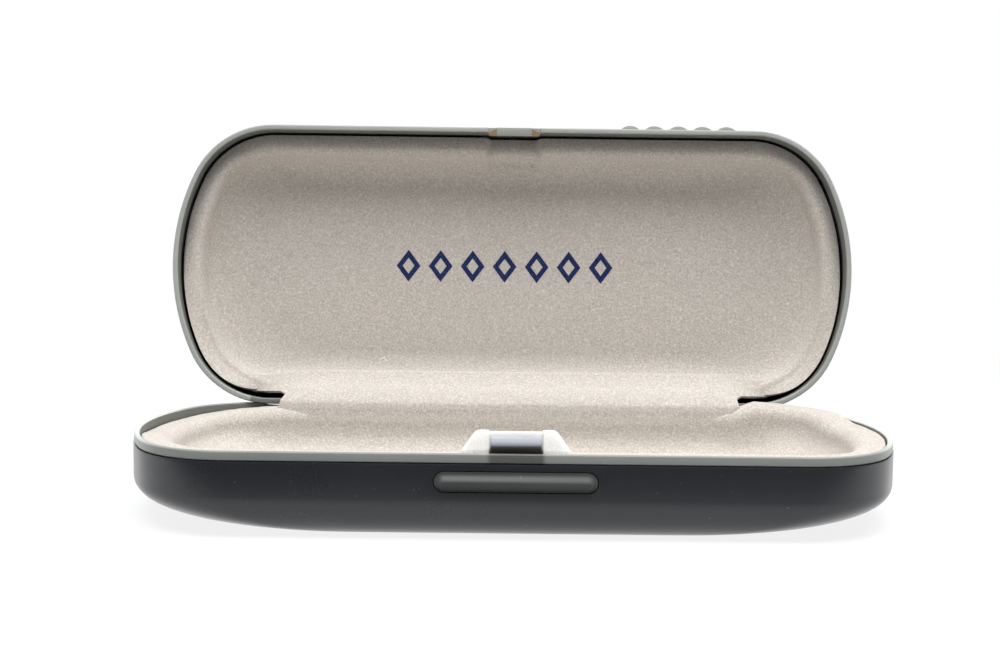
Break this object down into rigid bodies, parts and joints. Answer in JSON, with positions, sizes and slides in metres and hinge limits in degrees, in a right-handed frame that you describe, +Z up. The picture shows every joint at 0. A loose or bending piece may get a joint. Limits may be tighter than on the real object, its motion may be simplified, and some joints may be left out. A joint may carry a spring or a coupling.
{
  "type": "spectacles case",
  "caption": "Hard spectacles case standing open: two rounded shells with rim frames, flocked lining through a sprung hinge, and a push-bar latch.",
  "frame": {"origin": "centre of the base shell's flat bottom", "axes": "+X along the case to the right seen from the front, +Y to the hinge at the back, +Z up"},
  "size_m": [0.1604, 0.0903, 0.0827],
  "materials": {
    "shell": "near-black moulded plastic with a soft satin sheen",
    "rim": "light grey moulded frame, satin",
    "button": "dark grey moulded bar, satin",
    "hook": "light blue-grey moulded plastic, satin",
    "flock": "warm beige short flock on a formed sheet",
    "guide": "dark moulded plastic, inside the base",
    "steel": "plain steel wire, pins and screws"
  },
  "bodies": {
    "base": {"base_shell": "shell", "base_rim": "rim", "base_liner": "flock", "hinge_web": "flock", "latch_guide": "guide", "latch_screw_left": "steel", "latch_screw_right": "steel", "return_spring_left": "steel", "return_spring_right": "steel", "hinge_pin_left": "steel", "hinge_pin_right": "steel", "hinge_spring_left": "steel", "hinge_spring_right": "steel"},
    "lid": {"lid_shell": "shell", "lid_rim": "rim", "lid_liner": "flock", "catch_plate": "rim"},
    "latch": {"push_button": "button", "latch_hook": "hook"}
  },
  "joints": [
    {"name": "lid_hinge", "type": "hinge", "parent": "base", "child": "lid", "pos_m": [0, 0.0316, 0.0184], "axis": [1, 0, 0], "range_deg": [0, 98.8], "stiffness_Nm_per_rad": 0.006, "springref_deg": -22.92, "deforming": ["hinge_web", "hinge_spring_left", "hinge_spring_right"]},
    {"name": "latch_slide", "type": "slide", "parent": "base", "child": "latch", "axis": [0, 1, 0], "range_m": [0, 0.0012], "stiffness_N_per_m": 300, "springref_m": -0.002, "deforming": ["return_spring_left", "return_spring_right"]}
  ]
}
